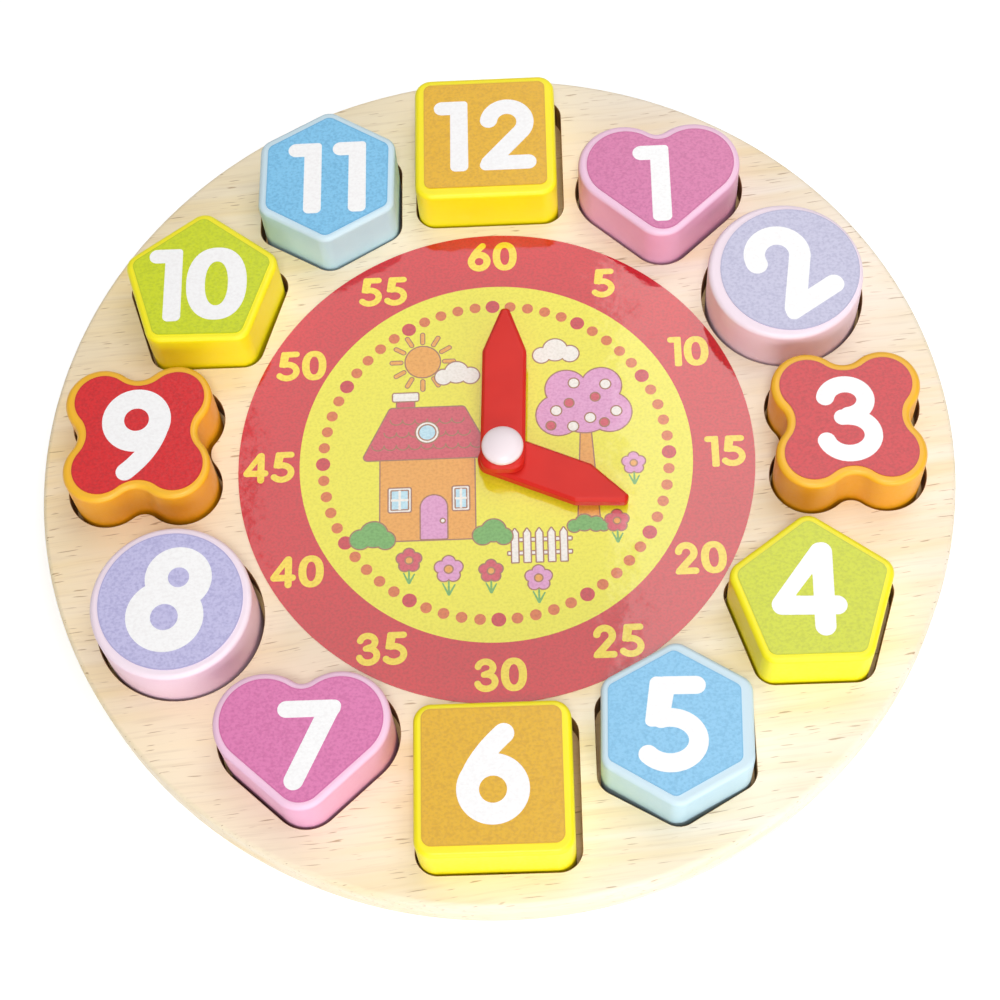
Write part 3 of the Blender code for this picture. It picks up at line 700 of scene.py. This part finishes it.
def cottage():
    """A cottage with a scalloped roof, a chimney, an arched door, two windows and a round one in the roof."""
    shapes = patch(box(-24.0, 5.0, -19.5, 17.5), "rose") + patch(box(-25.0, 16.2, -18.5, 18.6), "cream")
    shapes += patch(box(-28.0, -21.0, -5.0, 3.0), "orange")
    shapes += patch([(-31.0, 1.4, 1.0), (-2.0, 1.4, 1.0), (-8.0, 13.5, 1.0), (-25.0, 13.5, 1.0)], "rose")
    for row in range(3):
        y = 4.4 + 3.4 * row
        count = 9 - 2 * row + row // 2
        for tile in range(count):
            x = -16.5 + (tile - (count - 1) / 2) * 3.0
            shapes.append((stroke(arc(x, y, 1.5, 1.3, 180, 360), 2 * LINE), "line"))
    shapes += patch([(-17.9, -20.4, 0.4), (-12.1, -20.4, 0.4), (-15.0, -12.4, 3.3)], "pink")
    shapes += cluster([(-12.9, -16.0, 0.6)], "cream")
    shapes += window(-26.0, -13.5, -20.4, -7.0) + window(-10.6, -13.5, -6.4, -7.0)
    shapes += cluster([(-16.5, 7.6, 2.9)], "cream") + cluster([(-16.5, 7.6, 2.1)], "blue")
    return shapes


def tree():
    """A tree in blossom, with a trunk that stands behind the hour hand."""
    shapes = patch([(19.6, -19.0, 0.4), (24.4, -19.0, 0.4), (22.8, 9.0, 0.4), (21.2, 9.0, 0.4)], "orange")
    crown = [(15.6, 11.0, 5.6), (28.0, 11.4, 5.4), (17.6, 18.0, 5.2), (26.2, 18.6, 5.0), (22.0, 13.5, 7.6)]
    tuft = [(18.4, -18.6, 1.7), (20.8, -17.8, 2.2), (23.6, -18.2, 2.0), (25.4, -18.8, 1.4)]
    shapes += cluster(crown, "pink") + cluster(tuft, "green")
    for x, y in ((15.0, 12.2), (19.5, 19.6), (27.2, 19.0), (23.2, 10.0), (29.6, 11.6), (19.0, 7.8)):
        shapes += cluster([(x, y, 1.35)], "cream")
    for x, y in ((18.2, 14.2), (24.6, 15.6), (26.6, 8.6), (13.6, 8.2)):
        shapes += cluster([(x, y, 1.2)], "rose")
    return shapes


def flower(x, y, size, ink):
    """A flower of five round petals on a short stem with two blades of grass."""
    shapes = []
    for lean, reach in ((-0.75, 1.9), (0.75, 2.1), (0.0, 0.0)):
        tip = (x + lean * size, y - reach * size, 0.18)
        root = (x + 0.1 * lean, y - 3.4 * size, 0.28)
        shapes.append((belt([tip, root]), "green"))
    petals = []
    for petal in range(5):
        turn = math.tau * petal / 5 + math.pi / 2
        petals.append((x + size * math.cos(turn), y + size * math.sin(turn), 0.85 * size))
    return shapes + cluster(petals, ink) + cluster([(x, y, 0.55 * size)], "orange")


def garden():
    """Bushes, a picket fence and flowers round the cottage."""
    shapes = cluster([(-32.6, -20.2, 2.6), (-29.4, -19.0, 3.4), (-26.6, -20.6, 2.4)], "green")
    for rail_foot in (-25.6, -22.2):
        shapes += patch(box(2.4, rail_foot, 17.8, rail_foot + 1.0, 0.3), "cream")
    for picket in range(5):
        x = 4.2 + 2.9 * picket
        shapes += patch([(x - 0.7, -27.4, 0.2), (x + 0.7, -27.4, 0.2), (x + 0.7, -20.0, 0.2), (x, -18.9, 0.2),
                         (x - 0.7, -20.0, 0.2)], "cream")
    shapes += cluster([(-3.4, -20.2, 2.5), (-0.8, -19.0, 3.0), (1.6, -20.6, 2.2)], "green")
    flowers = ((-21.0, -26.0, 1.7, "rose"), (-11.6, -28.6, 1.9, "pink"), (-1.6, -29.4, 1.6, "rose"),
               (9.6, -31.6, 1.8, "pink"), (28.6, -17.6, 1.6, "rose"), (33.2, -2.6, 1.6, "pink"))
    for x, y, size, ink in flowers:
        shapes += flower(x, y, size, ink)
    return shapes


def sky():
    """A sun with twelve rays, and two clouds."""
    shapes = []
    x, y = SUN
    for ray in range(SUN_RAYS):
        turn = math.tau * ray / SUN_RAYS
        line = [(x + reach * math.cos(turn), y + reach * math.sin(turn)) for reach in RAY_REACHES]
        shapes.append((stroke(line, RAY_WIDTH + 2 * LINE), "line"))
        shapes.append((stroke(line, RAY_WIDTH - LINE), "orange"))
    shapes += cluster([(x, y, SUN_RADIUS)], "orange")
    shapes += cluster([(-12.4, 22.6, 2.2), (-9.2, 23.8, 3.0), (-5.8, 22.8, 2.3)], "cream")
    shapes += cluster([(11.8, 27.6, 2.2), (15.2, 29.0, 3.1), (18.8, 27.8, 2.3)], "cream")
    return shapes


def dial():
    """The printed dial film: a red minute ring, a yellow disc with sixty dots, and a cottage scene."""
    low, high = flat_box("dial_sheet")
    edge = (high.x - low.x) / 2
    shapes = [(ellipse(0, 0, edge, edge, DISC_STEPS), "ring")]
    shapes.append((ellipse(0, 0, DISC_RADIUS, DISC_RADIUS, DISC_STEPS), "disc"))
    for minute in range(60):
        turn = math.tau * minute / 60
        size, ink = (DOT, "dot") if minute % 5 else (HOUR_DOT, "hour_dot")
        x, y = DOT_RING * math.sin(turn), DOT_RING * math.cos(turn)
        shapes.append((ellipse(x, y, size, size, DOT_STEPS), ink))
        if minute % 5 == 0:
            text = str(minute or 60)
            x = MINUTE_RING * math.sin(turn) + MINUTE_SHIFT
            y = MINUTE_RING * math.cos(turn) - MINUTE_DROP + (0 if minute else TOP_RISE)
            shapes += number(text, x, y, MINUTE_HEIGHT, 0.0, MINUTE_GAP_SHARE, "numeral", "ring")
    shapes += sky() + cottage() + tree() + garden()
    materials = {}
    for ink, codes in INKS.items():
        materials[ink] = printed_film(f"printed_{ink}_ink", *codes, roughness=0.05, sheen=0.77, relief=0.010,
                                      ripple=10.0)
    bottom = flat_box("face_board")[1].z + FILM_LIFT
    make_piece("dial_film", *film_shell(shapes, bottom, bottom + high.z - low.z, "ring"), materials, "board",
               "dial_film", ["dial_sheet"])


# Hands and hub: the chamfer is heights below the face and growths, with its two edges eased, and a lap is how
# far joined shells run into each other

HAND_WIDTH, HAND_TAIL, HAND_TAIL_CORNER, HAND_SHOULDER_CORNER = 10.7, 5.5, 3.2, 1.0
HAND_TIP_WIDTH, HAND_TIP_CORNER = 2.4, 0.9
HAND_THICKNESS, HAND_FOOT = 3.0, 0.2
HAND_CHAMFER = ((-0.85, 0.0), (-0.7, -0.06), (-0.08, -0.68), (0.0, -0.84))
COLLAR = 4.4
STEM, BARB, BARB_LENGTH, BARB_LIP = 2.3, 0.4, 1.6, 0.01
SLOT_WIDTH, SLOT_LENGTH = 0.9, 7.0
KNOB_RIM, KNOB_FOOT, KNOB_PLAY, KNOB_STEPS = 0.7, 0.2, 0.3, 15
LAP = 0.1
HAND_BORE = 2.6
HOUR_LENGTH, HOUR_SHOULDER, HOUR_BEARING = 32.0, 20.4, 113.6
MINUTE_LENGTH, MINUTE_SHOULDER, MINUTE_BEARING = 38.2, 26.2, 2.0


def hand_pegs(length, shoulder):
    """Pegs of a hand that points to +Y: two tail corners, two shoulders and a narrow blunt tip."""
    tail = (HAND_WIDTH / 2 - HAND_TAIL_CORNER, HAND_TAIL_CORNER - HAND_TAIL, HAND_TAIL_CORNER)
    side = (HAND_WIDTH / 2 - HAND_SHOULDER_CORNER, shoulder, HAND_SHOULDER_CORNER)
    tip = (HAND_TIP_WIDTH / 2 - HAND_TIP_CORNER, length - HAND_TIP_CORNER, HAND_TIP_CORNER)
    right = [tail, side, tip]
    return right + [(-x, y, radius) for x, y, radius in reversed(right)]


def join(*shells):
    """Several shells as one: their points, faces and tags."""
    points, faces, tags = [], [], []
    for more_points, more_faces, more_tags in shells:
        first = len(points)
        points += more_points
        faces += [[first + place for place in face] for face in more_faces]
        tags += more_tags
    return points, faces, tags


def hand(name, length, shoulder, bearing, plastic):
    """One hand with a soft chamfer round its face, and the collar below it, if it has one."""
    low, high = flat_box(name)
    x, y = node_middle("hub_knob")
    foot = high.z - HAND_THICKNESS
    pegs = hand_pegs(length, shoulder)
    levels = [(foot, -HAND_FOOT), (foot + HAND_FOOT, 0.0)]
    levels += [(high.z + drop, grow) for drop, grow in HAND_CHAMFER]
    rings = [(placed(belt(pegs, grow), x, y, -bearing), height) for height, grow in levels]
    bore = ellipse(x, y, HAND_BORE, HAND_BORE)
    shell = solid(rings, "red", [[(bore, foot), (bore, high.z)]], "red")
    if foot - low.z > SAME_POINT:
        rim = ellipse(x, y, COLLAR, COLLAR)
        top = foot + LAP
        shell = join(shell, solid([(rim, low.z), (rim, top)], "red", [[(bore, low.z), (bore, top)]], "red"))
    make_piece(name + "_plate", *shell, {"red": plastic}, name, "hand_plastic", [name])


def knob():
    """The pale domed knob. Its stem is split, so that the barb at its end can squeeze past a lip."""
    low, high = flat_box("hub_knob")
    x, y = node_middle("hub_knob")
    radius = (high.x - low.x) / 2
    seat = flat_box("minute_hand")[1].z + KNOB_PLAY
    slot_top = low.z + SLOT_LENGTH
    rim = seat + KNOB_RIM
    profile = [(STEM, slot_top), (STEM, seat), (radius - KNOB_FOOT, seat), (radius, seat + KNOB_FOOT)]
    for step in range(KNOB_STEPS):
        turn = math.pi / 2 * step / KNOB_STEPS
        profile.append((radius * math.cos(turn), rim + (high.z - rim) * math.sin(turn)))
    shell = solid([(ellipse(x, y, size, size), height) for size, height in profile], "white")
    shoulder = low.z + BARB_LENGTH
    barb = ((STEM - BARB, low.z), (STEM + BARB, shoulder), (STEM, shoulder + BARB_LIP),
            (STEM, slot_top + LAP))
    for turn in (0.0, 180.0):
        rings = []
        for size, height in barb:
            half = math.degrees(math.acos(SLOT_WIDTH / 2 / size))
            prong = arc(0, 0, size, size, 90 - half, 90 + half)
            rings.append((placed(prong, x, y, turn), height))
        shell = join(shell, solid(rings, "white"))
    white = moulded_abs("moulded_white_abs", "#F4E6EA", "#EEDDE2", 0.28)
    make_piece("hub_cap", *shell, {"white": white}, "board", "knob_plastic", ["hub_knob"])


# Boards

def rim_loops(node, height):
    """The closed rings of points where upright walls meet the flat top of a node, at one height."""
    mesh = bmesh.new()
    mesh.from_mesh(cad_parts[node].data)
    bmesh.ops.remove_doubles(mesh, verts=mesh.verts, dist=SAME_POINT * MM)
    level = height * MM
    near = SAME_POINT * MM
    links = {}
    for edge in mesh.edges:
        flat = all(abs(vert.co.z - level) < near for vert in edge.verts)
        if flat and any(abs(face.normal.z) < 0.5 for face in edge.link_faces):
            first, second = (vert.index for vert in edge.verts)
            links.setdefault(first, set()).add(second)
            links.setdefault(second, set()).add(first)
    mesh.verts.ensure_lookup_table()
    loops = []
    waiting = set(links)
    while waiting:
        found = {waiting.pop()}
        edge_of = set(found)
        while edge_of:
            edge_of = {after for before in edge_of for after in links[before]} - found
            found |= edge_of
        waiting -= found
        loops.append([(mesh.verts[place].co.x / MM, mesh.verts[place].co.y / MM) for place in found])
    mesh.free()
    return loops


def pocket_outlines(top):
    """The twelve pockets' outlines, each with its place, and the hub bore's middle and radius."""
    pockets = []
    hub = None
    for loop in rim_loops("face_board", top):
        low, high = extent(loop)
        middle = ((low[0] + high[0]) / 2, (low[1] + high[1]) / 2)
        if high[0] - low[0] < 2 * POCKET_PLAY + CIRCLE:
            hub = (*middle, (high[0] - low[0]) / 2)
            continue
        nearest = min(BLOCKS, key=lambda block: math.dist(middle, node_middle(block_node(block))))
        pegs = PEGS[nearest.outline]
        x, y = centre_in(low, high, belt(pegs, POCKET_PLAY))
        pockets.append((pegs, x, y))
    return pockets, hub


def boards():
    """The face board with its pockets, and the base board under it."""
    low, high = flat_box("face_board")
    base_low, base_high = flat_box("base_board")
    radius = (high.x - low.x) / 2
    pockets, hub = pocket_outlines(high.z)
    face = {
        "wood": beech("lacquered_beech_face", "#F9EDDA", "#F1D8A0", "#A88256", (0.0, 0.0, 0.0)),
        "cut": scorched_beech(),
    }
    base = {
        "wood": beech("lacquered_beech_base", "#F8EEDE", "#F1D9A8", "#A27E54", (11.0, 5.0, 0.0)),
        # The pocket floors get a darker, warmer copy of the beech: painted shade for the floor down in the
        # narrow pockets
        "floor": beech("shaded_beech_floor", "#F2CE94", "#E4B87A", "#96703E", (3.0, 9.0, 0.0)),
    }
    levels = [(low.z, 0.0)] + rounded(high.z, BOARD_ROUND, 6, 1)
    rings = [(ellipse(0, 0, radius + grow, radius + grow, DISC_STEPS), height) for height, grow in levels]
    holes = []
    edges = ((low.z, 0.0), (high.z - POCKET_EDGE, 0.0), (high.z, POCKET_EDGE))
    for pegs, x, y in pockets:
        holes.append([(placed(belt(pegs, POCKET_PLAY + grow), x, y), height) for height, grow in edges])
    x, y, bore = hub
    holes.append([(ellipse(x, y, bore, bore), height) for height in (low.z, high.z)])
    make_piece("board_face", *solid(rings, "wood", holes, "cut"), face, "board", "face_wood", ["face_board"])

    socket_low, socket_high = flat_box("hub_socket")
    recess = (socket_high.x - socket_low.x) / 2 + POCKET_EDGE
    step = socket_low.z + RECESS_STEP
    levels = rounded(base_low.z, BOARD_ROUND, 5, -1) + [(low.z - GLUE_LINE, 0.0)]
    rings = [(ellipse(0, 0, radius + grow, radius + grow, DISC_STEPS), height) for height, grow in levels]
    profile = ((recess + POCKET_EDGE, base_low.z), (recess, base_low.z + POCKET_EDGE), (recess, step),
               (bore, step), (bore, low.z - GLUE_LINE))
    hole = [(ellipse(x, y, size, size), height) for size, height in profile]
    make_piece("board_base", *solid(rings, "wood", [hole], "wood", "floor"), base, "board", "base_wood",
               ["base_board"])


# Floor, light and camera, in metres: each lamp has its name, place, aim, width, height and radiance

LAMPS = (
    ("overhead_softbox", (0.145, 0.42, 0.90), (0.145, 0.42, 0.0), 0.71, 1.00, 1.10),
    ("right_softbox", (0.33, 0.42, 0.89), (0.33, 0.42, 0.0), 0.56, 1.00, 1.30),
    ("front_softbox", (0.30, -1.00, 0.34), (0.0, 0.0, 0.0), 1.5, 0.62, 2.9),
    ("camera_softbox", (0.03, -0.45, 0.97), (0.0, 0.0, 0.0), 0.20, 0.20, 34.0),
)
ROOM_LIGHT = 0.12
FLOOR_HALF, FLOOR_DROP = 6.0, 0.0002
FLOOR_GLOW, GLOW_START, GLOW_END = 0.30, 0.4, 1.6

def floor():
    """A plain white paper sweep, which keeps the clock's soft shadow and glows white further out."""
    made, tree, shader, place = start("white_paper_sweep", 0.9)
    tooth_way = add(tree, "ShaderNodeMapping", {"Vector": place, "Scale": per_metre(0.6, 0.6, 0.6)})
    tooth = add(tree, "ShaderNodeTexNoise", {"Vector": tooth_way, "Scale": 1.0})
    colour = add(tree, "ShaderNodeMix", {0: tooth, 6: linear("#FAFAFA"), 7: linear("#F2F2F2")}, 2,
                 data_type="RGBA")
    dress(tree, shader, colour, tooth, 0.01)
    away = add(tree, "ShaderNodeVectorMath", {0: place}, "Value", operation="LENGTH")
    glow = add(tree, "ShaderNodeMapRange", {
        "Value": away, "From Min": GLOW_START, "From Max": GLOW_END, "To Min": FLOOR_GLOW, "To Max": 1.0})
    seen_glow = add(tree, "ShaderNodeMath", {0: clear_view(tree), 1: glow}, operation="MULTIPLY")
    tree.links.new(seen_glow, shader.inputs["Emission Strength"])
    shader.inputs["Emission Color"].default_value = (1.0, 1.0, 1.0, 1.0)
    mesh = bmesh.new()
    bmesh.ops.create_grid(mesh, x_segments=1, y_segments=1, size=FLOOR_HALF)
    data = bpy.data.meshes.new("floor")
    mesh.to_mesh(data)
    mesh.free()
    data.materials.append(made)
    sweep = bpy.data.objects.new("floor", data)
    sweep.location.z = -FLOOR_DROP
    bpy.context.scene.collection.objects.link(sweep)


def clear_view(tree):
    """One for what the camera sees, straight or by reflection, and zero for light that falls on the clock."""
    path = tree.nodes.new("ShaderNodeLightPath").outputs
    seen = add(tree, "ShaderNodeMath", {0: path["Is Camera Ray"], 1: path["Is Glossy Ray"]},
               operation="MAXIMUM")
    return add(tree, "ShaderNodeMath", {0: seen, 1: path["Is Transmission Ray"]}, operation="MAXIMUM")


def softbox(name, place, aim, width, height, radiance):
    """A rectangular lamp of even brightness, turned to a point."""
    lamp = bpy.data.lights.new(name, "AREA")
    lamp.shape = "RECTANGLE"
    lamp.size = width
    lamp.size_y = height
    lamp.energy = radiance * math.pi * width * height
    thing = bpy.data.objects.new(name, lamp)
    thing.location = place
    thing.rotation_euler = (Vector(aim) - Vector(place)).to_track_quat("-Z", "Y").to_euler()
    bpy.context.scene.collection.objects.link(thing)


def studio():
    """Large soft lamps, a pale surround, and the photograph's camera."""
    for lamp in LAMPS:
        softbox(*lamp)
    world = bpy.data.worlds.new("studio")
    bpy.context.scene.world = world
    world.use_nodes = True
    tree = world.node_tree
    strength = add(tree, "ShaderNodeMapRange", {
        "Value": clear_view(tree), "To Min": ROOM_LIGHT, "To Max": 1.0})
    tree.links.new(strength, tree.nodes["Background"].inputs["Strength"])
    tree.nodes["Background"].inputs["Color"].default_value = (1.0, 1.0, 1.0, 1.0)
    lens = bpy.data.cameras.new("camera")
    lens.lens = CAMERA_LENS
    lens.sensor_width = SENSOR
    lens.sensor_height = SENSOR
    lens.clip_start = 0.01
    camera = bpy.data.objects.new("camera", lens)
    right = Vector(CAMERA_RIGHT).normalized()
    up = Vector(CAMERA_UP).normalized()
    turned = Matrix((right, up, right.cross(up))).transposed().to_4x4()
    camera.matrix_world = Matrix.Translation(CAMERA_PLACE) @ turned
    bpy.context.scene.collection.objects.link(camera)
    bpy.context.scene.camera = camera
    bpy.context.scene.view_settings.view_transform = "Standard"


# The clock

floor()
studio()
boards()
dial()
red_plastic = moulded_abs("moulded_red_abs", "#D9281E", "#CE2018", 0.34, 0.25)
hand("hour_hand", HOUR_LENGTH, HOUR_SHOULDER, HOUR_BEARING, red_plastic)
hand("minute_hand", MINUTE_LENGTH, MINUTE_SHOULDER, MINUTE_BEARING, red_plastic)
knob()
white_ink = printed_film("white_ink_on_film", "#FCFBFB", "#F6F4F4")
for block in BLOCKS:
    block_pieces(block, white_ink)

# The socket keeps its CAD shape, because only its flange shows, from below
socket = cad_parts["hub_socket"]
socket.data.materials.clear()
socket.data.materials.append(moulded_abs("moulded_natural_abs", "#E6DDCF", "#DACFBF", 0.45))
